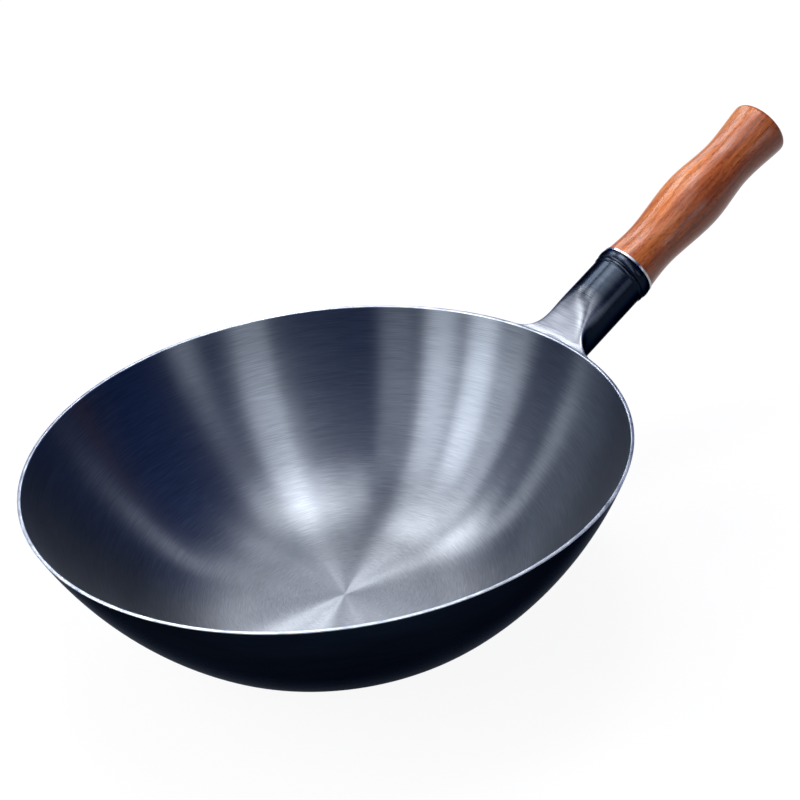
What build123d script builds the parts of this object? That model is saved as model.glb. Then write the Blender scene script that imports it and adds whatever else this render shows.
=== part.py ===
from build123d import *
import os
from math import atan2, cos, degrees, radians, sin, tan

os.makedirs("parts", exist_ok=True)

# Frame: the origin is the centre of the flat underside that the wok stands on.
# +Z is up and the handle leaves the rim above +X.  All sizes are in millimetres.

# Driving sizes of the bowl.
rim_radius = 160
bowl_height = 97
sheet_thickness = 1.8
base_flat_radius = 50
base_bend_radius = 88
base_bend_angle = radians(43.5)
rim_rounding = 0.5

# Driving sizes of the handle.  Stations are measured along the handle's axis, from the point
# of that axis which stands over the rim.  A rise or a fall is counted from the tube's radius.
handle_tilt_degrees = 25.1
axis_drop = 8.4
tube_radius = 16.5
tube_wall = 1.5
neck_length = 33
flare_length = 22
flare_width = 17
flare_curve_share = 2.5
wing_lip = 1.2
wing_hollow_share = 0.3
collar_start = 56.6
collar_length = 8.7
collar_rise = 1.1
bead_length = 2.8
bead_rise = 0.6
groove_rise = 0.2
heat_ring_thickness = 1.3
heat_ring_rise = 0.7

# Driving sizes of the grip.  It swells and narrows from the tube's radius by these amounts, at the
# places along its length that the shares give.
grip_length = 123.4
grip_foot_rise = 0.1
grip_first_waist_fall = 1.2
grip_belly_rise = 1.8
grip_second_waist_fall = 0.9
grip_end_rise = 1.2
grip_place_shares = (0, 0.173, 0.47, 0.733, 0.96)
grip_end_rounding = 2.5
tenon_length = 18
counterbore_radius = 7
counterbore_depth = 9

# Driving sizes of the bolt through the grip and of what it holds, for a 6 mm thread.
bolt_radius = 3
bolt_length = 150
bolt_head_radius = 5
bolt_head_height = 3.9
bolt_slot_width = 1.6
bolt_slot_depth = 1.8
flat_washer_radius = 6
flat_washer_thickness = 1.6
spring_washer_radius = 5.4
spring_washer_thickness = 1.6
spring_washer_split = 1.2
nut_width = 10
nut_height = 5
nut_plate_thickness = 2.5
nut_plate_gap = 2.5

# Clearances and the overrun that every cut is given past the surface it starts from.
fit_clearance = 0.3
thread_clearance = 0.1
cut_overrun = 30


handle_tilt = radians(handle_tilt_degrees)
handle_direction = (cos(handle_tilt), 0, sin(handle_tilt))


handle_foot = (rim_radius, 0, bowl_height - axis_drop)
# Across the handle: the local X axis is level and the local Y axis leans back from upright.
cross_plane = Plane(origin=handle_foot, x_dir=(0, 1, 0), z_dir=handle_direction)
# Along the handle: local X is the station and local Y the distance from the axis.
profile_plane = Plane(origin=handle_foot, x_dir=handle_direction, z_dir=(0, -1, 0))
handle_axis = Axis(handle_foot, handle_direction)

# Stations that follow from the driving sizes, from the bowl out to the end of the grip.
heat_ring_start = collar_start + collar_length
grip_start = heat_ring_start + heat_ring_thickness
grip_end = grip_start + grip_length
tube_bore = tube_radius - tube_wall
collar_radius = tube_radius + collar_rise
bead_radius = tube_radius + bead_rise
groove_radius = tube_radius + groove_rise
heat_ring_radius = tube_radius + heat_ring_rise


def bowl_side(bend_radius, start_height, rim_point):
    """Half of one face of the bowl: the flat base, the bend out of it and the side up to the rim."""
    flat = Line((0, start_height), (base_flat_radius, start_height))
    bend = CenterArc(
        (base_flat_radius, start_height + bend_radius), bend_radius, -90, degrees(base_bend_angle)
    )
    side = TangentArc(
        bend @ 1, rim_point, tangent=(cos(base_bend_angle), sin(base_bend_angle))
    )
    return flat, bend, side


# The wall leans outward at the rim, so the level edge of the rim is wider than the sheet is thick.
bend_end_radius = base_flat_radius + base_bend_radius * sin(base_bend_angle)
bend_end_height = base_bend_radius * (1 - cos(base_bend_angle))
side_chord_angle = atan2(bowl_height - bend_end_height, rim_radius - bend_end_radius)
rim_wall_angle = 2 * side_chord_angle - base_bend_angle
rim_edge_width = sheet_thickness / sin(rim_wall_angle)

# Bowl: one sheet, pressed to a round shell with open walls of even thickness.
with BuildPart() as wok_bowl:
    with BuildSketch(Plane.XZ):
        with BuildLine():
            bowl_side(base_bend_radius, 0, (rim_radius, bowl_height))
            Line((rim_radius, bowl_height), (rim_radius - rim_edge_width, bowl_height))
            bowl_side(
                base_bend_radius - sheet_thickness,
                sheet_thickness,
                (rim_radius - rim_edge_width, bowl_height),
            )
            Line((0, sheet_thickness), (0, 0))
        rim_corners = make_face().vertices().group_by(Axis.Y)[-1]
        fillet(rim_corners, radius=rim_rounding)
    revolve(axis=Axis.Z)
wok_bowl.part.label = "wok_bowl"
export_step(wok_bowl.part, "parts/wok_bowl.step")


# The neck's sections, from well inside the bowl's wall to the plain tube, as shares of its length.
neck_station_shares = (-0.8, -0.18, -0.09, 0, 0.09, 0.18, 0.3, 0.42, 0.55, 0.7, 0.85, 1)
neck_stations = [share * neck_length for share in neck_station_shares]
wing_root_station = neck_stations[1]

# The top of the neck meets the wall level, just under the rim's rounding, and then climbs to the
# top of the tube.
weld_drop = axis_drop - rim_rounding
rim_station = weld_drop * sin(handle_tilt)
rim_rise = weld_drop * cos(handle_tilt)


def top_line(station):
    """Height of the neck's top above the handle's axis at a station."""
    if station <= rim_station:
        return rim_rise - (station - rim_station) * tan(handle_tilt)
    span = neck_length - rim_station
    share = (station - rim_station) / span
    start_slope = -tan(handle_tilt) * span
    return (
        rim_rise * (1 - share) ** 2 * (1 + 2 * share)
        + start_slope * share * (1 - share) ** 2
        + tube_radius * share ** 2 * (3 - 2 * share)
    )


def blend(tube_value, rim_value, rim_share):
    """A value that changes from its size on the tube to its size at the rim."""
    return tube_value + (rim_value - tube_value) * rim_share


def neck_section(station):
    """Key points of a neck section's right half: under the wing, its tip, and the top."""
    rim_share = min(1, max(0, 1 - station / neck_length))
    rim_share = rim_share * rim_share * (3 - 2 * rim_share)
    flare_share = max(0, 1 - max(station, wing_root_station) / flare_length) ** flare_curve_share
    top = top_line(station)
    eighth = radians(45)
    sixteenth = radians(22.5)
    tip = (
        blend(tube_radius * cos(eighth), tube_radius, rim_share) + flare_width * flare_share,
        blend(tube_radius * sin(eighth), top - wing_lip, rim_share),
    )
    under = (
        blend(tube_radius * cos(sixteenth), (tube_radius + tip[0]) / 2, rim_share),
        blend(tube_radius * sin(sixteenth), tip[1] * wing_hollow_share, rim_share),
    )
    return under, tip, (0, top)


# Hollow of the socket: the tube's bore, kept below the sheet that forms the neck's top.
with BuildPart() as socket_hollow:
    with BuildSketch(cross_plane.offset(neck_stations[0])):
        Circle(tube_bore)
    extrude(amount=grip_start - neck_stations[0])
    with BuildSketch(profile_plane):
        with BuildLine():
            ceiling = Spline(*[(station, top_line(station) - tube_wall) for station in neck_stations])
            Polyline(
                ceiling @ 1,
                (neck_length, tube_radius + cut_overrun),
                (neck_stations[0], tube_radius + cut_overrun),
                ceiling @ 0,
            )
        make_face()
    extrude(amount=tube_radius + cut_overrun, both=True, mode=Mode.SUBTRACT)

# Socket: the flared neck and the tube that carries the grip, one piece of bent sheet.  The neck
# is a ruled loft through five-sided sections and ends on the outer face of the bowl.
lower_side = (tube_radius * cos(radians(45)), -tube_radius * sin(radians(45)))
with BuildPart() as handle_socket:
    for station in neck_stations:
        under, tip, top = neck_section(station)
        with BuildSketch(cross_plane.offset(station)):
            with BuildLine():
                ThreePointArc((0, -tube_radius), lower_side, (tube_radius, 0))
                ThreePointArc((tube_radius, 0), under, tip)
                ThreePointArc(tip, top, (-tip[0], tip[1]))
                ThreePointArc((-tip[0], tip[1]), (-under[0], under[1]), (-tube_radius, 0))
                ThreePointArc((-tube_radius, 0), (-lower_side[0], lower_side[1]), (0, -tube_radius))
            make_face()
    loft(ruled=True)
    with BuildSketch(cross_plane.offset(neck_length)):
        Circle(tube_radius)
    extrude(amount=heat_ring_start - tube_wall - neck_length)
    with BuildSketch(Plane.XZ):
        with BuildLine():
            bowl_side(base_bend_radius, 0, (rim_radius, bowl_height))
            Polyline(
                (rim_radius, bowl_height),
                (rim_radius, bowl_height + cut_overrun),
                (0, bowl_height + cut_overrun),
                (0, 0),
            )
        make_face()
    revolve(axis=Axis.Z, mode=Mode.SUBTRACT)
    add(socket_hollow.part, mode=Mode.SUBTRACT)
handle_socket.part.label = "handle_socket"
export_step(handle_socket.part, "parts/handle_socket.step")

# Collar: a turned ring on the end of the tube.  It has a bead, a groove and a rounded band, and
# its inner lip covers the end of the tube.
with BuildPart() as socket_collar:
    with BuildSketch(profile_plane):
        with BuildLine():
            ThreePointArc(
                (collar_start, tube_radius),
                (collar_start + bead_length / 2, bead_radius),
                (collar_start + bead_length, groove_radius),
            )
            ThreePointArc(
                (collar_start + bead_length, groove_radius),
                ((collar_start + bead_length + heat_ring_start) / 2, collar_radius),
                (heat_ring_start, groove_radius),
            )
            Polyline(
                (heat_ring_start, groove_radius),
                (heat_ring_start, tube_bore),
                (heat_ring_start - tube_wall, tube_bore),
                (heat_ring_start - tube_wall, tube_radius),
                (collar_start, tube_radius),
            )
        make_face()
    revolve(axis=handle_axis)
socket_collar.part.label = "socket_collar"
export_step(socket_collar.part, "parts/socket_collar.step")

# Heat ring: the bright steel washer between the collar and the wood.
tenon_radius = tube_bore - fit_clearance
with BuildPart() as heat_ring:
    with BuildSketch(cross_plane.offset(heat_ring_start)):
        Circle(heat_ring_radius)
        Circle(tenon_radius + fit_clearance, mode=Mode.SUBTRACT)
    extrude(amount=heat_ring_thickness)
heat_ring.part.label = "heat_ring"
export_step(heat_ring.part, "parts/heat_ring.step")

# Grip: turned wood with two waists.  A tenon goes into the tube, a bore takes the bolt, and a
# counterbore hides the bolt's head in the end.
tenon_start = grip_start - tenon_length
bolt_bore = bolt_radius + fit_clearance
bolt_seat = grip_end - counterbore_depth
grip_rises = (
    grip_foot_rise,
    -grip_first_waist_fall,
    grip_belly_rise,
    -grip_second_waist_fall,
    grip_end_rise,
)
with BuildPart() as wooden_grip:
    with BuildSketch(profile_plane):
        with BuildLine():
            outline = Spline(
                *[
                    (grip_start + share * grip_length, tube_radius + rise)
                    for share, rise in zip(grip_place_shares, grip_rises)
                ]
            )
            Polyline(
                outline @ 1,
                (grip_end, tube_radius + grip_end_rise),
                (grip_end, bolt_bore),
                (tenon_start, bolt_bore),
                (tenon_start, tenon_radius),
                (grip_start, tenon_radius),
                outline @ 0,
            )
        make_face()
    revolve(axis=handle_axis)
    end_edge = wooden_grip.edges().filter_by(GeomType.CIRCLE).sort_by(
        lambda edge: edge.radius + (edge.arc_center - Vector(*handle_foot)).length
    )
    fillet(end_edge[-1], radius=grip_end_rounding)
    with BuildSketch(cross_plane.offset(bolt_seat)):
        Circle(counterbore_radius)
    extrude(amount=counterbore_depth + cut_overrun, mode=Mode.SUBTRACT)
wooden_grip.part.label = "wooden_grip"
export_step(wooden_grip.part, "parts/wooden_grip.step")

# Flat washer: spreads the bolt's pull over the wood at the bottom of the counterbore.
with BuildPart() as flat_washer:
    with BuildSketch(cross_plane.offset(bolt_seat)):
        Circle(flat_washer_radius)
        Circle(bolt_bore, mode=Mode.SUBTRACT)
    extrude(amount=flat_washer_thickness)
flat_washer.part.label = "flat_washer"
export_step(flat_washer.part, "parts/flat_washer.step")

# Spring washer: a split ring that keeps the bolt tight when the wood shrinks.
spring_washer_start = bolt_seat + flat_washer_thickness
with BuildPart() as spring_washer:
    with BuildSketch(cross_plane.offset(spring_washer_start)):
        Circle(spring_washer_radius)
        Circle(bolt_bore, mode=Mode.SUBTRACT)
        Rectangle(
            spring_washer_radius * 2, spring_washer_split, align=(Align.MIN, Align.CENTER), mode=Mode.SUBTRACT
        )
    extrude(amount=spring_washer_thickness)
spring_washer.part.label = "spring_washer"
export_step(spring_washer.part, "parts/spring_washer.step")

# Bolt: runs through the whole grip and pulls it onto the socket.
bolt_head_start = spring_washer_start + spring_washer_thickness
with BuildPart() as tie_bolt:
    with BuildSketch(cross_plane.offset(bolt_head_start - bolt_length)):
        Circle(bolt_radius)
    extrude(amount=bolt_length)
    with BuildSketch(cross_plane.offset(bolt_head_start)):
        Circle(bolt_head_radius)
    extrude(amount=bolt_head_height)
    with BuildSketch(cross_plane.offset(bolt_head_start + bolt_head_height - bolt_slot_depth)):
        Rectangle(bolt_head_radius * 2 + cut_overrun, bolt_slot_width)
    extrude(amount=cut_overrun, mode=Mode.SUBTRACT)
tie_bolt.part.label = "tie_bolt"
export_step(tie_bolt.part, "parts/tie_bolt.step")

# Nut plate: a disc welded across the tube, just short of the tenon.
nut_plate_start = tenon_start - nut_plate_gap - nut_plate_thickness
with BuildPart() as nut_plate:
    with BuildSketch(cross_plane.offset(nut_plate_start)):
        Circle(tube_bore)
        Circle(bolt_bore, mode=Mode.SUBTRACT)
    extrude(amount=nut_plate_thickness)
nut_plate.part.label = "nut_plate"
export_step(nut_plate.part, "parts/nut_plate.step")

# Weld nut: sits on the bowl's side of the plate and takes the bolt's thread.
with BuildPart() as weld_nut:
    with BuildSketch(cross_plane.offset(nut_plate_start - nut_height)):
        RegularPolygon(nut_width / 2, 6, major_radius=False)
        Circle(bolt_radius + thread_clearance, mode=Mode.SUBTRACT)
    extrude(amount=nut_height)
weld_nut.part.label = "weld_nut"
export_step(weld_nut.part, "parts/weld_nut.step")
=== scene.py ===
from math import asin, atan2, cos, hypot, pi, radians, sin, sqrt, tan

import bpy
from mathutils import Matrix, Vector


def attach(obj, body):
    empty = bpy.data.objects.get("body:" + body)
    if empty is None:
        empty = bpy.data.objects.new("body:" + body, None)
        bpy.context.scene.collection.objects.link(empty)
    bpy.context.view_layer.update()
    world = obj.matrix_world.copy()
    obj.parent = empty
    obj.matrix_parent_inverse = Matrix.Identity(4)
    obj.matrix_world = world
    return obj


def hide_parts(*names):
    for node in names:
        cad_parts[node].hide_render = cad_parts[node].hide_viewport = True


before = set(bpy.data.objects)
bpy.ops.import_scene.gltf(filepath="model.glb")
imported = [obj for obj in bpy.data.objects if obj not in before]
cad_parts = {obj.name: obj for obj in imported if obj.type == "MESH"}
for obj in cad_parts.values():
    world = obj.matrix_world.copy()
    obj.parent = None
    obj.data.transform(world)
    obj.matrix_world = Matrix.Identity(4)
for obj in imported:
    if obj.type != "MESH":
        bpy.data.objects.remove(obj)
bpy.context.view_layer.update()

MM = 0.001

# Sizes of the bowl, as in the part's source, in metres.
RIM_RADIUS = 160 * MM
BOWL_HEIGHT = 97 * MM
SHEET = 1.8 * MM
BASE_FLAT_RADIUS = 50 * MM
BASE_BEND_RADIUS = 88 * MM
BASE_BEND_ANGLE = radians(43.5)
RIM_ROUNDING = 0.5 * MM

# Sizes of the handle, as in the part's source, in metres.
HANDLE_TILT = radians(25.1)
AXIS_DROP = 8.4 * MM
TUBE_RADIUS = 16.5 * MM
TUBE_WALL = 1.5 * MM
NECK_LENGTH = 33 * MM
FLARE_LENGTH = 22 * MM
FLARE_WIDTH = 17 * MM
FLARE_CURVE_SHARE = 2.5
WING_ROOT_STATION = -0.18 * NECK_LENGTH
WING_LIP = 1.2 * MM
WING_HOLLOW_SHARE = 0.3
COLLAR_START = 56.6 * MM
COLLAR_LENGTH = 8.7 * MM
COLLAR_RADIUS = 17.6 * MM
BEAD_LENGTH = 2.8 * MM
BEAD_RADIUS = 17.1 * MM
GROOVE_RADIUS = 16.7 * MM
HEAT_RING_THICKNESS = 1.3 * MM
HEAT_RING_RADIUS = 17.2 * MM
GRIP_LENGTH = 123.4 * MM
GRIP_PLACE_SHARES = (0, 0.173, 0.47, 0.733, 0.96, 1)
GRIP_RADII = (16.6 * MM, 15.3 * MM, 18.3 * MM, 15.6 * MM, 17.7 * MM, 17.7 * MM)
GRIP_END_ROUNDING = 2.5 * MM
COUNTERBORE_RADIUS = 7 * MM
COUNTERBORE_DEPTH = 9 * MM
BOLT_BORE = 3.3 * MM

# Places along the handle's axis.
TUBE_BORE = TUBE_RADIUS - TUBE_WALL
TUBE_END = COLLAR_START + BEAD_LENGTH / 2
BEAD_END = COLLAR_START + BEAD_LENGTH
HEAT_RING_START = COLLAR_START + COLLAR_LENGTH
GRIP_START = HEAT_RING_START + HEAT_RING_THICKNESS
GRIP_END = GRIP_START + GRIP_LENGTH

# The neck is polished up to the first station, and the tube is blued from the second on.  Both are
# painted lighter where they face up, a painted highlight that is strongest on the polished part.
POLISH_AND_PAINTED_HIGHLIGHT_START = 18 * MM
POLISH_AND_PAINTED_HIGHLIGHT_END = 38 * MM

# The neck's top meets the rim this far above the handle's foot, which gives the station and the
# height of that point in the handle's own directions.
WELD_DROP = AXIS_DROP - RIM_ROUNDING
RIM_STATION = WELD_DROP * sin(HANDLE_TILT)
RIM_RISE = WELD_DROP * cos(HANDLE_TILT)

# Directions.
UP = Vector((0, 0, 1))
EAST = Vector((1, 0, 0))
ORIGIN = Vector((0, 0, 0))
HANDLE_FOOT = Vector((RIM_RADIUS, 0, BOWL_HEIGHT - AXIS_DROP))
ALONG = Vector((cos(HANDLE_TILT), 0, sin(HANDLE_TILT)))
ACROSS = Vector((0, 1, 0))
UPWARD = Vector((-sin(HANDLE_TILT), 0, cos(HANDLE_TILT)))

# Fineness of the meshes.
BOWL_SEGMENTS = 256
BOWL_ARC_STEPS = 40
BOWL_FLAT_STEPS = 8
RIM_CORNER_STEPS = 5
HALF_ROUND = 48
NECK_LONG = 72
HANDLE_SEGMENTS = 96
BEAD_STEPS = 10
BAND_STEPS = 16
GRIP_STEPS = 12
GRIP_END_STEPS = 6
BISECTIONS = 40
CREASE_ANGLE = radians(35)

# Softening of the neck's edges: it sets in at the start station and grows over the length.
SOFTENING_PASSES = 70
SOFTENING_START = 2 * MM
SOFTENING_LENGTH = 10 * MM

# Colours that more than one material or stop shares.
BLUE_BLACK = (0.006, 0.009, 0.016)
WHITE = (1, 1, 1)


class Graph:
    """Short calls for the nodes of one material."""

    def __init__(self, material):
        self.nodes = material.node_tree.nodes
        self.links = material.node_tree.links

    def link(self, source, target):
        self.links.new(source, target)

    def feed(self, socket, value):
        """Set a socket to a plain value, or link another node's output to it."""
        if isinstance(value, (int, float, tuple)):
            socket.default_value = value
        else:
            self.link(value, socket)

    def math(self, operation, first, second=0.0):
        node = self.nodes.new("ShaderNodeMath")
        node.operation = operation
        self.feed(node.inputs[0], first)
        self.feed(node.inputs[1], second)
        return node.outputs[0]

    def sum(self, first, second):
        return self.math("ADD", first, second)

    def product(self, first, second):
        return self.math("MULTIPLY", first, second)

    def ramp(self, factor, stops):
        """Colour that changes in straight runs between its (position, colour) stops."""
        node = self.nodes.new("ShaderNodeValToRGB")
        elements = node.color_ramp.elements
        elements[0].position, first = stops[0]
        elements[0].color = (*first, 1)
        elements[1].position, last = stops[-1]
        elements[1].color = (*last, 1)
        for position, colour in stops[1:-1]:
            elements.new(position).color = (*colour, 1)
        self.link(factor, node.inputs[0])
        return node.outputs[0]

    def mix(self, factor, first, second, blend="MIX"):
        node = self.nodes.new("ShaderNodeMix")
        node.data_type = "RGBA"
        node.blend_type = blend
        self.feed(node.inputs[0], factor)
        self.feed(node.inputs[6], first)
        self.feed(node.inputs[7], second)
        return node.outputs[2]

    def tinted(self, colour, tint):
        """A colour times another."""
        return self.mix(1.0, colour, tint, "MULTIPLY")

    def spread(self, factor, low, high, start=0.0, end=1.0):
        """The factor, from start to end, carried to the range low to high."""
        node = self.nodes.new("ShaderNodeMapRange")
        self.feed(node.inputs[0], factor)
        for socket, number in zip(node.inputs[1:5], (start, end, low, high)):
            socket.default_value = number
        return node.outputs[0]

    def position(self):
        return self.nodes.new("ShaderNodeTexCoord").outputs["Object"]

    def separate(self, vector):
        node = self.nodes.new("ShaderNodeSeparateXYZ")
        self.link(vector, node.inputs[0])
        return node.outputs

    def scaled(self, parts, scales):
        """A vector from three numbers, each times its own scale."""
        node = self.nodes.new("ShaderNodeCombineXYZ")
        for socket, part, scale in zip(node.inputs, parts, scales):
            self.link(self.product(part, scale), socket)
        return node.outputs[0]

    def noise(self, vector, scale, detail=4.0, roughness=0.55):
        node = self.nodes.new("ShaderNodeTexNoise")
        self.link(vector, node.inputs["Vector"])
        node.inputs["Scale"].default_value = scale
        node.inputs["Detail"].default_value = detail
        node.inputs["Roughness"].default_value = roughness
        return node.outputs["Fac"]

    def bump(self, height, distance, strength):
        node = self.nodes.new("ShaderNodeBump")
        node.inputs["Strength"].default_value = strength
        node.inputs["Distance"].default_value = distance
        self.link(height, node.inputs["Height"])
        return node.outputs["Normal"]

    def facing(self, direction):
        """How far the surface faces a direction: 1 straight at it, 0 across it."""
        node = self.nodes.new("ShaderNodeVectorMath")
        node.operation = "DOT_PRODUCT"
        self.link(self.nodes.new("ShaderNodeTexCoord").outputs["Normal"], node.inputs[0])
        node.inputs[1].default_value = direction
        return node.outputs["Value"]

    def handle_frame(self):
        """Place in the handle's own directions: along from its foot, across, and upward."""
        node = self.nodes.new("ShaderNodeMapping")
        node.vector_type = "TEXTURE"
        node.inputs["Location"].default_value = HANDLE_FOOT
        node.inputs["Rotation"].default_value = (0, -HANDLE_TILT, 0)
        self.link(self.position(), node.inputs["Vector"])
        return node.outputs["Vector"]

    def ring_place(self):
        """Azimuth, radius and distance along the bowl's wall, for all its circular grain."""
        x, y, z = self.separate(self.position())
        radius = self.math("SQRT", self.sum(self.product(x, x), self.product(y, y)))
        azimuth = self.math("ARCTAN2", y, x)
        return azimuth, radius, self.sum(radius, z)

    def circular_grain(self, turns, lines, detail=3.0):
        """Noise drawn out along circles round the bowl's axis: long in azimuth, fine across."""
        azimuth, _, reach = self.ring_place()
        parts = (self.math("COSINE", azimuth), self.math("SINE", azimuth), reach)
        return self.noise(self.scaled(parts, (turns, turns, lines)), 1.0, detail, 0.6)

    def brush_round(self, shader, amount):
        """Stretch the highlights across brushing that runs in circles round the bowl's axis."""
        shader.inputs["Anisotropic"].default_value = amount
        shader.inputs["Anisotropic Rotation"].default_value = 0.25
        tangent = self.nodes.new("ShaderNodeTangent")
        tangent.direction_type = "RADIAL"
        tangent.axis = "Z"
        self.link(tangent.outputs[0], shader.inputs["Tangent"])


def new_material(name):
    """A material with one principled shader, and the graph that its nodes are added with."""
    material = bpy.data.materials.new(name)
    material.use_nodes = True
    nodes = material.node_tree.nodes
    nodes.clear()
    output = nodes.new("ShaderNodeOutputMaterial")
    shader = nodes.new("ShaderNodeBsdfPrincipled")
    material.node_tree.links.new(shader.outputs["BSDF"], output.inputs["Surface"])
    return material, shader, Graph(material)


def inner_steel():
    """Dark blue steel of the bowl's inside, brushed in circles."""
    material, shader, graph = new_material("steel_inside")
    fine = graph.circular_grain(9.0, 2600.0)
    long = graph.circular_grain(3.0, 700.0)
    cloud = graph.circular_grain(1.2, 26.0)
    colour = graph.ramp(
        cloud,
        ((0.25, (0.161, 0.173, 0.192)), (0.5, (0.184, 0.198, 0.218)), (0.75, (0.207, 0.222, 0.243))),
    )
    scratch = graph.ramp(fine, ((0.35, (0.72, 0.72, 0.72)), (0.62, WHITE), (0.75, (1.25, 1.25, 1.25))))
    # Darker and bluer towards the rim.
    rim_radius_share = graph.math("DIVIDE", graph.ring_place()[1], RIM_RADIUS)
    darker_towards_rim = graph.ramp(rim_radius_share, ((0.5, WHITE), (0.72, (0.80, 0.82, 0.85)), (0.98, (0.655, 0.685, 0.72))))
    graph.link(graph.tinted(graph.tinted(colour, scratch), darker_towards_rim), shader.inputs["Base Color"])
    shader.inputs["Metallic"].default_value = 1.0
    grain = graph.sum(graph.product(fine, 0.5), graph.product(long, 0.5))
    graph.link(graph.spread(grain, 0.25, 0.33), shader.inputs["Roughness"])
    graph.brush_round(shader, 0.98)
    graph.link(graph.bump(grain, 0.02 * MM, 0.5), shader.inputs["Normal"])
    return material


def outer_steel():
    """Outside of the bowl: the same steel, brushed more weakly, with its colour painted near black as
    shade.
    """
    material, shader, graph = new_material("steel_outside")
    fine = graph.circular_grain(6.0, 1800.0)
    cloud = graph.circular_grain(1.5, 18.0)
    # Painted shade: a near-black colour and a dark specular tint keep the outside far darker than the
    # same steel inside.
    colour = graph.ramp(cloud, ((0.3, (0.009, 0.013, 0.020)), (0.7, (0.016, 0.022, 0.033))))
    graph.link(colour, shader.inputs["Base Color"])
    shader.inputs["Metallic"].default_value = 1.0
    shader.inputs["Specular Tint"].default_value = (0.10, 0.14, 0.22, 1)
    graph.link(graph.spread(fine, 0.30, 0.46), shader.inputs["Roughness"])
    graph.brush_round(shader, 0.6)
    graph.link(graph.bump(fine, 0.02 * MM, 0.4), shader.inputs["Normal"])
    return material


def edge_steel():
    """Ground edge of the rim, worn bright."""
    material, shader, graph = new_material("steel_edge")
    wear = graph.circular_grain(14.0, 300.0)
    colour = graph.ramp(wear, ((0.35, (0.22, 0.25, 0.29)), (0.65, (0.48, 0.51, 0.55))))
    graph.link(colour, shader.inputs["Base Color"])
    shader.inputs["Metallic"].default_value = 1.0
    graph.link(graph.spread(wear, 0.22, 0.38), shader.inputs["Roughness"])
    return material


def neck_steel():
    """Steel of the neck and tube: polished on the neck, blue black on the tube, both painted lighter
    where they face up as a painted highlight.
    """
    material, shader, graph = new_material("steel_neck")
    place = graph.handle_frame()
    along, across, upward = graph.separate(place)
    rings = graph.noise(graph.scaled((along, across, upward), (2400.0, 60.0, 60.0)), 1.0)
    cloud = graph.noise(place, 60.0, 3.0)
    unevenness = graph.product(graph.math("SUBTRACT", cloud, 0.5), 0.06)
    # Painted highlight: the colour is lighter where the surface faces the handle's up direction, with
    # painted shade on the sides.
    facing = graph.sum(graph.facing(UPWARD), unevenness)
    tube = graph.ramp(facing, ((0.30, BLUE_BLACK), (0.70, (0.030, 0.037, 0.048))))
    flare = graph.ramp(
        facing, ((0.28, BLUE_BLACK), (0.48, (0.100, 0.112, 0.130)), (0.68, (0.300, 0.312, 0.328)))
    )
    flare_share = graph.spread(along, 1.0, 0.0, POLISH_AND_PAINTED_HIGHLIGHT_START, POLISH_AND_PAINTED_HIGHLIGHT_END)
    scratch = graph.ramp(rings, ((0.32, (0.70, 0.72, 0.75)), (0.68, (1.15, 1.15, 1.15))))
    colour = graph.tinted(graph.mix(flare_share, tube, flare), scratch)
    graph.link(colour, shader.inputs["Base Color"])
    shader.inputs["Metallic"].default_value = 1.0
    shader.inputs["Specular Tint"].default_value = (0.2, 0.24, 0.32, 1)
    satin = graph.spread(flare_share, 0.0, 0.12)
    graph.link(graph.sum(graph.spread(rings, 0.18, 0.30), satin), shader.inputs["Roughness"])
    graph.link(graph.bump(rings, 0.02 * MM, 0.5), shader.inputs["Normal"])
    return material


def bright_steel():
    """Plain machined steel of the heat ring, the bolt and its washers."""
    material, shader, graph = new_material("steel_bright")
    grain = graph.noise(graph.handle_frame(), 900.0, 3.0)
    colour = graph.ramp(grain, ((0.3, (0.24, 0.25, 0.265)), (0.7, (0.36, 0.37, 0.385))))
    graph.link(colour, shader.inputs["Base Color"])
    shader.inputs["Metallic"].default_value = 1.0
    graph.link(graph.spread(grain, 0.18, 0.32), shader.inputs["Roughness"])
    return material


def grip_wood():
    """Reddish brown hardwood with its grain along the handle, oiled to a soft gloss."""
    material, shader, graph = new_material("wood_grip")
    parts = graph.separate(graph.handle_frame())

    def drawn_out(along, across, detail, roughness=0.55):
        """Noise drawn out along the grip, from its scales along and across it."""
        return graph.noise(graph.scaled(parts, (along, across, across)), 1.0, detail, roughness)

    bands = drawn_out(5.0, 110.0, 4.0, 0.6)
    lines = drawn_out(12.0, 700.0, 3.0)
    pores = drawn_out(330.0, 1300.0, 2.0)
    # Painted shade: the wood is darker towards the grip's -Y side.
    painted_side_shade = graph.spread(parts[1], 0.0, 1.0, -GRIP_RADII[0], GRIP_RADII[0])
    colour = graph.ramp(
        bands,
        ((0.25, (0.200, 0.042, 0.012)), (0.45, (0.420, 0.112, 0.027)),
         (0.6, (0.600, 0.195, 0.046)), (0.8, (0.290, 0.068, 0.018))),
    )
    for factor, stops in (
        (painted_side_shade, ((0.0, (0.44, 0.32, 0.28)), (0.3, (0.95, 0.88, 0.80)), (0.75, (0.84, 0.92, 0.76)))),
        (lines, ((0.3, (0.66, 0.62, 0.58)), (0.65, (1.10, 1.08, 1.06)))),
        (pores, ((0.30, (0.55, 0.48, 0.44)), (0.46, WHITE), (0.75, (1.15, 1.12, 1.10)))),
    ):
        colour = graph.tinted(colour, graph.ramp(factor, stops))
    graph.link(colour, shader.inputs["Base Color"])
    graph.link(graph.spread(lines, 0.34, 0.50), shader.inputs["Roughness"])
    shader.inputs["Specular IOR Level"].default_value = 0.1
    shader.inputs["Coat Weight"].default_value = 0.45
    shader.inputs["Coat Roughness"].default_value = 0.2
    height = graph.sum(graph.product(lines, 0.4), graph.product(pores, 0.6))
    graph.link(graph.bump(height, 0.15 * MM, 0.25), shader.inputs["Normal"])
    return material


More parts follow.
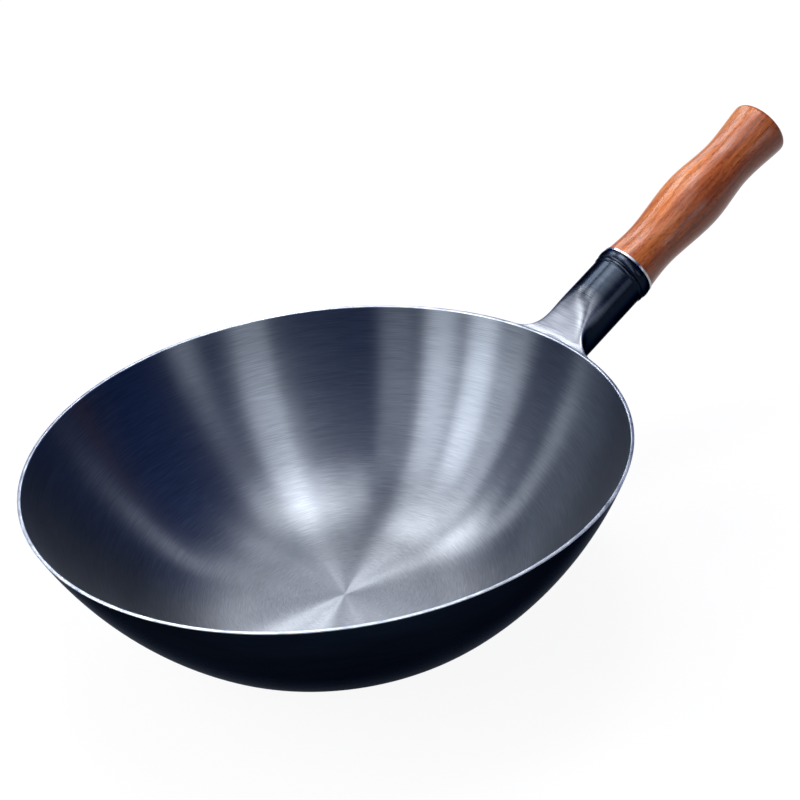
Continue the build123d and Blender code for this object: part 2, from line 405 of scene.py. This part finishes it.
# Mesh helpers.
def mesh_piece(name, vertices, faces, material, replaced, slot):
    """A smooth piece that rides on the object's one body and replaces nodes of the model."""
    mesh = bpy.data.meshes.new(name)
    mesh.from_pydata([tuple(v) for v in vertices], [], faces)
    mesh.materials.append(material)
    mesh.polygons.foreach_set("use_smooth", [True] * len(mesh.polygons))
    mesh.update()
    piece = bpy.data.objects.new(name, mesh)
    bpy.context.scene.collection.objects.link(piece)
    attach(piece, "root")
    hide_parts(*replaced)
    return piece


def crease(piece):
    """Smooth shading that keeps the sharper edges."""
    bpy.context.view_layer.objects.active = piece
    piece.select_set(True)
    bpy.ops.object.shade_smooth_by_angle(angle=CREASE_ANGLE)
    piece.select_set(False)


def turned(profile, centre, axis, side, segments, closed=False):
    """Vertices and faces of a profile of (station, radius) pairs turned round an axis."""
    third = axis.cross(side)
    vertices, faces = [], []
    count = len(profile)
    for index in range(segments):
        turn = 2 * pi * index / segments
        outward = side * cos(turn) + third * sin(turn)
        for station, radius in profile:
            vertices.append(centre + axis * station + outward * radius)
    rows = count if closed else count - 1
    for index in range(segments):
        here, beside = index * count, (index + 1) % segments * count
        for row in range(rows):
            above = (row + 1) % count
            faces.append((here + row, beside + row, beside + above, here + above))
    return vertices, faces


# Bowl.
def arc_points(centre, radius, start, end):
    """Points of an arc of a bowl's face, from one angle to another."""
    turns = (start + (end - start) * step / BOWL_ARC_STEPS for step in range(BOWL_ARC_STEPS + 1))
    return [(centre[0] + radius * cos(turn), centre[1] + radius * sin(turn)) for turn in turns]


def bowl_face(bend_radius, start_height, rim_point):
    """One face of the bowl in section, (radius, height) from the axis to the rim, and its angle there."""
    bend_centre = (BASE_FLAT_RADIUS, start_height + bend_radius)
    bend = arc_points(bend_centre, bend_radius, -pi / 2, -pi / 2 + BASE_BEND_ANGLE)
    join = bend[-1]
    chord_angle = atan2(rim_point[1] - join[1], rim_point[0] - join[0])
    rim_angle = 2 * chord_angle - BASE_BEND_ANGLE
    side_radius = (rim_point[0] - join[0]) / (sin(rim_angle) - sin(BASE_BEND_ANGLE))
    side_centre = (
        join[0] - side_radius * sin(BASE_BEND_ANGLE),
        join[1] + side_radius * cos(BASE_BEND_ANGLE),
    )
    side = arc_points(side_centre, side_radius, -pi / 2 + BASE_BEND_ANGLE, -pi / 2 + rim_angle)
    flat = [(BASE_FLAT_RADIUS * step / BOWL_FLAT_STEPS, start_height) for step in range(BOWL_FLAT_STEPS)]
    return flat + bend[:-1] + side, rim_angle


def trimmed(line, margin):
    """The line up to a point that is the margin short of its end."""
    end = Vector(line[-1])
    kept = [point for point in line if (Vector(point) - end).length > margin]
    return kept + [tuple(end + (Vector(line[-2]) - end).normalized() * margin)]


def corner(start, peak, end):
    """A soft corner from start to end that leans towards the peak."""
    shares = (step / RIM_CORNER_STEPS for step in range(RIM_CORNER_STEPS + 1))
    return [tuple(start * (1 - t) ** 2 + peak * 2 * t * (1 - t) + end * t ** 2) for t in shares]


def bowl_piece(name, line, material, inward):
    """One face of the bowl, with a single vertex where it crosses the axis."""
    ring = [(z, r) for r, z in line[1:]]
    vertices, faces = turned(ring, ORIGIN, UP, EAST, BOWL_SEGMENTS)
    middle = len(vertices)
    vertices.append(Vector((0, 0, line[0][1])))
    count = len(ring)
    for index in range(BOWL_SEGMENTS):
        following = (index + 1) % BOWL_SEGMENTS
        faces.append((middle, following * count, index * count))
    if not inward:
        faces = [tuple(reversed(face)) for face in faces]
    mesh_piece(name, vertices, faces, material, ["wok_bowl"], "blued_steel")


outer_line, rim_angle = bowl_face(BASE_BEND_RADIUS, 0, (RIM_RADIUS, BOWL_HEIGHT))
rim_land = SHEET / sin(rim_angle)
inner_line, _ = bowl_face(BASE_BEND_RADIUS - SHEET, SHEET, (RIM_RADIUS - rim_land, BOWL_HEIGHT))
outer_wall = trimmed(outer_line, RIM_ROUNDING)
inner_wall = trimmed(inner_line, RIM_ROUNDING)
bowl_piece("bowl_inside", inner_wall, inner_steel(), True)
bowl_piece("bowl_outside", outer_wall, outer_steel(), False)

# The rim's edge: from the inner wall over a rounded corner, across the level land, and down.
inner_corner, outer_corner = Vector(inner_line[-1]), Vector(outer_line[-1])
level_step = Vector((RIM_ROUNDING, 0))
edge_line = (
    corner(Vector(inner_wall[-1]), inner_corner, inner_corner + level_step)
    + corner(outer_corner - level_step, outer_corner, Vector(outer_wall[-1]))
)
edge_mesh = turned([(z, r) for r, z in edge_line], ORIGIN, UP, EAST, BOWL_SEGMENTS)
mesh_piece("bowl_rim_edge", *edge_mesh, edge_steel(), ["wok_bowl"], "blued_steel")


# Neck and tube.  The neck's sections are those of the part's source, joined smoothly.
def top_line(station):
    """Height of the neck's top above the handle's axis at a station."""
    if station <= RIM_STATION:
        return RIM_RISE - (station - RIM_STATION) * tan(HANDLE_TILT)
    if station >= NECK_LENGTH:
        return TUBE_RADIUS
    span = NECK_LENGTH - RIM_STATION
    share = (station - RIM_STATION) / span
    start_slope = -tan(HANDLE_TILT) * span
    return (
        RIM_RISE * (1 - share) ** 2 * (1 + 2 * share)
        + start_slope * share * (1 - share) ** 2
        + TUBE_RADIUS * share ** 2 * (3 - 2 * share)
    )


def blend(tube_value, rim_value, rim_share):
    """A value that changes from its size on the tube to its size at the rim."""
    return tube_value + (rim_value - tube_value) * rim_share


def bow(start, middle, end, share):
    """A point of the smooth bow from start to end that passes through the middle."""
    peak = middle * 2 - (start + end) / 2
    return start * (1 - share) ** 2 + peak * 2 * share * (1 - share) + end * share ** 2


def over_top(tip, top, share):
    """A point of the arc from the wing's tip to the top of the section, where it lies level."""
    lift = top - tip.y
    radius = (tip.x ** 2 + lift ** 2) / (2 * lift)
    turn = asin(min(1, tip.x / radius)) * (1 - share)
    return Vector((radius * sin(turn), top - radius * (1 - cos(turn))))


def neck_outline(station, place):
    """Across and height of a point of a section's right half.

    The place runs from 0 at the bottom over 1 at the side and 2 at the wing's tip to 3 at the top.
    """
    if place <= 1:
        turn = (place - 1) * pi / 2
        return Vector((TUBE_RADIUS * cos(turn), TUBE_RADIUS * sin(turn)))
    rim_share = min(1, max(0, 1 - station / NECK_LENGTH))
    rim_share = rim_share * rim_share * (3 - 2 * rim_share)
    flare_share = max(0, 1 - max(station, WING_ROOT_STATION) / FLARE_LENGTH) ** FLARE_CURVE_SHARE
    top = top_line(station)
    tip = Vector((
        blend(TUBE_RADIUS * cos(pi / 4), TUBE_RADIUS, rim_share) + FLARE_WIDTH * flare_share,
        blend(TUBE_RADIUS * sin(pi / 4), top - WING_LIP, rim_share),
    ))
    if place > 2:
        return over_top(tip, top, place - 2)
    under = Vector((
        blend(TUBE_RADIUS * cos(pi / 8), (TUBE_RADIUS + tip.x) / 2, rim_share),
        blend(TUBE_RADIUS * sin(pi / 8), tip.y * WING_HOLLOW_SHARE, rim_share),
    ))
    return bow(Vector((TUBE_RADIUS, 0)), under, tip, place - 1)


def handle_point(station, across, height):
    return HANDLE_FOOT + ALONG * station + ACROSS * across + UPWARD * height


def outer_radius(height):
    """Radius of the bowl's outside at a height."""
    for (r0, z0), (r1, z1) in zip(outer_line, outer_line[1:]):
        if z0 <= height <= z1 and z1 > z0:
            return r0 + (r1 - r0) * (height - z0) / (z1 - z0)
    return RIM_RADIUS


def wall_station(place):
    """Station at which the neck's line at this place leaves the bowl's outside."""
    inside, outside = -NECK_LENGTH, NECK_LENGTH
    for _ in range(BISECTIONS):
        middle = (inside + outside) / 2
        point = handle_point(middle, *neck_outline(middle, place))
        if hypot(point.x, point.y) < outer_radius(point.z):
            inside = middle
        else:
            outside = middle
    return outside


def neck_line(place, side):
    """Station, angle from below and distance from the axis of the points of one lengthwise line."""
    start = wall_station(place)
    line = []
    for row in range(NECK_LONG + 1):
        station = start + (TUBE_END - start) * row / NECK_LONG
        across, height = neck_outline(station, place)
        line.append(Vector((station, side * atan2(across, -height), hypot(across, height))))
    return line


def softened(ring):
    """The ring of lines, each point drawn to the middle of its four neighbours, less so at the rim."""
    soft = []
    for index, line in enumerate(ring):
        before, after = ring[index - 1], ring[(index + 1) % len(ring)]
        inner = []
        for row in range(1, NECK_LONG):
            share = 0.5 * min(1, max(0, (line[row].x - SOFTENING_START) / SOFTENING_LENGTH))
            middle = (line[row - 1] + line[row + 1] + before[row] + after[row]) / 4
            inner.append(line[row].lerp(middle, share))
        soft.append([line[0]] + inner + [line[-1]])
    return soft


def neck_mesh():
    """Vertices and faces of the neck and tube, from lengthwise lines all the way round."""
    places = [3 * step / HALF_ROUND for step in range(HALF_ROUND + 1)]
    ring = [neck_line(place, 1) for place in places]
    ring += [neck_line(place, -1) for place in places[-2:0:-1]]
    # Angles are kept as their difference from an even spacing, so that the ring closes on itself.
    count = len(ring)
    even_turns = [2 * pi * index / count for index in range(count)]
    for index, (line, turn) in enumerate(zip(ring, even_turns)):
        for point in line:
            point.y = point.y - turn + (2 * pi if index > HALF_ROUND else 0)
    for _ in range(SOFTENING_PASSES):
        ring = softened(ring)
    vertices, faces = [], []
    for line, turn in zip(ring, even_turns):
        for station, difference, distance in line:
            angle = turn + difference
            vertices.append(handle_point(station, distance * sin(angle), -distance * cos(angle)))
    rows = NECK_LONG + 1
    for index in range(count):
        for row in range(NECK_LONG):
            here, beside = index * rows + row, (index + 1) % count * rows + row
            faces.append((here, here + 1, beside + 1, beside))
    return vertices, faces


steel_neck = neck_steel()
crease(mesh_piece("neck_and_tube", *neck_mesh(), steel_neck, ["handle_socket"], "blued_steel"))


# Collar, heat ring and grip, turned round the handle's axis.
def handle_piece(name, profile, material, node, slot):
    vertices, faces = turned(profile, HANDLE_FOOT, ALONG, ACROSS, HANDLE_SEGMENTS, closed=True)
    crease(mesh_piece(name, vertices, faces, material, [node], slot))


def bulge(start, middle, end, steps):
    """Points of a rounded band between two (station, radius) pairs, through a raised middle."""
    lift = middle - (start[1] + end[1]) / 2
    points = []
    for step in range(steps + 1):
        share = step / steps
        round_share = sqrt(max(0, 1 - (2 * share - 1) ** 2))
        points.append((
            start[0] + (end[0] - start[0]) * share,
            start[1] + (end[1] - start[1]) * share + lift * round_share,
        ))
    return points


def smooth_row(table, place):
    """A point between the rows of a table, on a smooth curve through them."""
    last = len(table) - 1
    row = min(int(place), last - 1)
    t = place - row
    before, after = table[max(row - 1, 0)], table[min(row + 2, last)]
    return tuple(
        0.5 * (
            2 * b + (c - a) * t + (2 * a - 5 * b + 4 * c - d) * t ** 2
            + (3 * b - a - 3 * c + d) * t ** 3
        )
        for a, b, c, d in zip(before, table[row], table[row + 1], after)
    )


def collar_profile():
    """Closed profile of the collar: its bead, its rounded band, and back along the tube's bore."""
    groove = (BEAD_END, GROOVE_RADIUS)
    bead = bulge((COLLAR_START, TUBE_RADIUS), BEAD_RADIUS, groove, BEAD_STEPS)
    band = bulge(groove, COLLAR_RADIUS, (HEAT_RING_START, GROOVE_RADIUS), BAND_STEPS)
    return bead + band[1:] + [(HEAT_RING_START, TUBE_BORE), (COLLAR_START, TUBE_BORE)]


def heat_ring_profile():
    return [
        (HEAT_RING_START, TUBE_BORE), (HEAT_RING_START, HEAT_RING_RADIUS),
        (GRIP_START, HEAT_RING_RADIUS), (GRIP_START, TUBE_BORE),
    ]


def grip_profile():
    """Closed profile of the grip: its waists, its rounded end, the counterbore and the bore."""
    table = [(share * GRIP_LENGTH, radius) for share, radius in zip(GRIP_PLACE_SHARES, GRIP_RADII)]
    rows = (step / GRIP_STEPS for step in range(GRIP_STEPS * (len(table) - 1)))
    curve = [smooth_row(table, row) for row in rows]
    outline = [(GRIP_START + s, r) for s, r in curve if s < GRIP_LENGTH - GRIP_END_ROUNDING]
    end_radius = outline[-1][1]
    for step in range(GRIP_END_STEPS + 1):
        turn = pi / 2 * step / GRIP_END_STEPS
        outline.append((
            GRIP_END - GRIP_END_ROUNDING * (1 - sin(turn)),
            end_radius - GRIP_END_ROUNDING * (1 - cos(turn)),
        ))
    counterbore_floor = GRIP_END - COUNTERBORE_DEPTH
    return outline + [
        (GRIP_END, COUNTERBORE_RADIUS), (counterbore_floor, COUNTERBORE_RADIUS),
        (counterbore_floor, BOLT_BORE), (GRIP_START, BOLT_BORE),
    ]


handle_piece("collar", collar_profile(), steel_neck, "socket_collar", "blued_steel")
steel_bright = bright_steel()
handle_piece("bright_ring", heat_ring_profile(), steel_bright, "heat_ring", "bright_steel")
handle_piece("grip", grip_profile(), grip_wood(), "wooden_grip", "grip_wood")

# The remaining nodes keep their shape and get a finished material.
for names, finish in (
    (("tie_bolt", "flat_washer", "spring_washer", "weld_nut"), steel_bright),
    (("nut_plate",), steel_neck),
):
    for name in names:
        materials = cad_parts[name].data.materials
        materials.clear()
        materials.append(finish)


# Floor.  The camera and reflections see it glowing white, but for a small share that shows shadow,
# and all other light falls on grey.
FLOOR_REACH = 12
FLOOR_WHITE_SHARE = 0.92
FLOOR_SEEN = (0.92, 0.92, 0.92, 1)
FLOOR_UNSEEN = (0.35, 0.35, 0.35, 1)


def floor_white():
    material, shader, graph = new_material("floor_white")
    shader.inputs["Roughness"].default_value = 0.9
    rays = graph.nodes.new("ShaderNodeLightPath").outputs
    mirrored = graph.math("MAXIMUM", rays["Is Glossy Ray"], rays["Is Transmission Ray"])
    seen = graph.math("MAXIMUM", rays["Is Camera Ray"], mirrored)
    graph.link(graph.mix(seen, FLOOR_UNSEEN, FLOOR_SEEN), shader.inputs["Base Color"])
    glow = graph.nodes.new("ShaderNodeEmission")
    glow.inputs["Strength"].default_value = 1.0
    both = graph.nodes.new("ShaderNodeMixShader")
    graph.link(graph.product(seen, FLOOR_WHITE_SHARE), both.inputs[0])
    graph.link(shader.outputs["BSDF"], both.inputs[1])
    graph.link(glow.outputs[0], both.inputs[2])
    graph.link(both.outputs[0], graph.nodes["Material Output"].inputs["Surface"])
    return material


floor_mesh = bpy.data.meshes.new("floor")
floor_corners = [
    (x * FLOOR_REACH, y * FLOOR_REACH, 0) for x, y in ((-1, -1), (1, -1), (1, 1), (-1, 1))
]
floor_mesh.from_pydata(floor_corners, [], [(0, 1, 2, 3)])
floor_mesh.materials.append(floor_white())
floor = bpy.data.objects.new("floor", floor_mesh)
bpy.context.scene.collection.objects.link(floor)


# Lamps: long soft boxes on a dome over the bowl.  Each runs from one direction to another, given as
# compass turn and rise in degrees, seen from the middle of the bowl.  The brushed wall mirrors each
# as one bright fan.  Eighteen rows are rounded from a numerical fit to the brightness of the fans in
# the photograph, and back_wing, overhead_front and front_low were set one by one.
BOWL_MIDDLE = Vector((0, 0, 50 * MM))
DOME_RADIUS = 1.9


def compass(turn_degrees, rise_degrees):
    turn, rise = radians(turn_degrees), radians(rise_degrees)
    return Vector((cos(turn) * cos(rise), sin(turn) * cos(rise), sin(rise)))


def soft_box(name, start, end, width, radiance):
    first, last = compass(*start), compass(*end)
    outward = (first + last).normalized()
    along = (last - first).normalized()
    data = bpy.data.lights.new(name, "AREA")
    data.shape = "RECTANGLE"
    data.size = width
    data.size_y = (last - first).length * DOME_RADIUS
    data.energy = radiance * pi * data.size * data.size_y
    light = bpy.data.objects.new(name, data)
    turn = Matrix((along.cross(outward), along, outward)).transposed()
    light.matrix_world = Matrix.Translation(BOWL_MIDDLE + outward * DOME_RADIUS) @ turn.to_4x4()
    bpy.context.scene.collection.objects.link(light)


for name, start, end, width, radiance in (
    ("left_low", (168, 10), (135, 55), 0.41, 7.6),
    ("left_wide", (-173, 10), (142, 65), 0.43, 5.2),
    ("left_front", (-155, 10), (152, 74), 0.45, 1.3),
    ("left_edge", (151, 10), (129, 45), 0.38, 3.0),
    ("back_left", (129, 45), (90, 51), 0.23, 3.6),
    ("back_edge", (118, 10), (90, 38), 0.23, 2.3),
    ("back_wing", (119, 36), (98, 44), 0.20, 2.0),
    ("back_low", (90, 45), (67, 40), 0.15, 13.8),
    ("back_middle", (88, 56), (65, 43), 0.15, 5.6),
    ("back_high", (84, 61), (64, 45), 0.15, 11.2),
    ("back", (58, 42), (58, 20), 0.38, 4.7),
    ("back_right", (30, 59), (52, 44), 0.15, 4.3),
    ("right_low", (26, 48), (49, 41), 0.15, 1.7),
    ("right", (-4, 26), (26, 42), 0.23, 1.2),
    ("right_high", (-31, 70), (36, 63), 0.23, 4.7),
    ("overhead_left", (171, 82), (67, 67), 0.23, 5.0),
    ("overhead", (-95, 86), (56, 67), 0.23, 8.0),
    ("overhead_right", (-45, 79), (45, 66), 0.23, 12.7),
    ("overhead_front", (-100, 61), (-55, 82), 0.25, 2.6),
    ("front_right", (-100, 10), (-45, 79), 0.46, 2.3),
    ("front_low", (-73, 24), (-66, 5), 0.30, 3.0),
):
    soft_box(name, start, end, width, radiance)

# A faint blue room, which gives the dark steel its blue.
world = bpy.data.worlds.new("studio")
world.use_nodes = True
room = world.node_tree.nodes["Background"].inputs
room["Color"].default_value = (0.02, 0.20, 1.0, 1)
room["Strength"].default_value = 0.25
bpy.context.scene.world = world

# Camera: the photograph's viewing angle, found by fitting the rim, the bowl's outline and the handle.
CAMERA_PLACE = (-0.42797, -0.68361, BOWL_HEIGHT + 0.47849)
CAMERA_LENS = 81.0
CAMERA_SENSOR = 36
CAMERA_TURN = radians(-35)
CAMERA_RISE = 0.51551
CAMERA_ROLL = -0.11126
camera_back = Vector((0, -cos(CAMERA_RISE), sin(CAMERA_RISE)))
level_up = Vector((0, sin(CAMERA_RISE), cos(CAMERA_RISE)))
camera_right = EAST * cos(CAMERA_ROLL) + level_up * sin(CAMERA_ROLL)
camera_up = level_up * cos(CAMERA_ROLL) - EAST * sin(CAMERA_ROLL)
aim = Matrix((camera_right, camera_up, camera_back)).transposed()
aim = Matrix.Rotation(CAMERA_TURN, 3, "Z") @ aim
camera_data = bpy.data.cameras.new("camera")
camera_data.lens = CAMERA_LENS
camera_data.sensor_width = CAMERA_SENSOR
camera = bpy.data.objects.new("camera", camera_data)
camera.matrix_world = Matrix.Translation(CAMERA_PLACE) @ aim.to_4x4()
bpy.context.scene.collection.objects.link(camera)
bpy.context.scene.camera = camera
bpy.context.scene.view_settings.view_transform = "Standard"
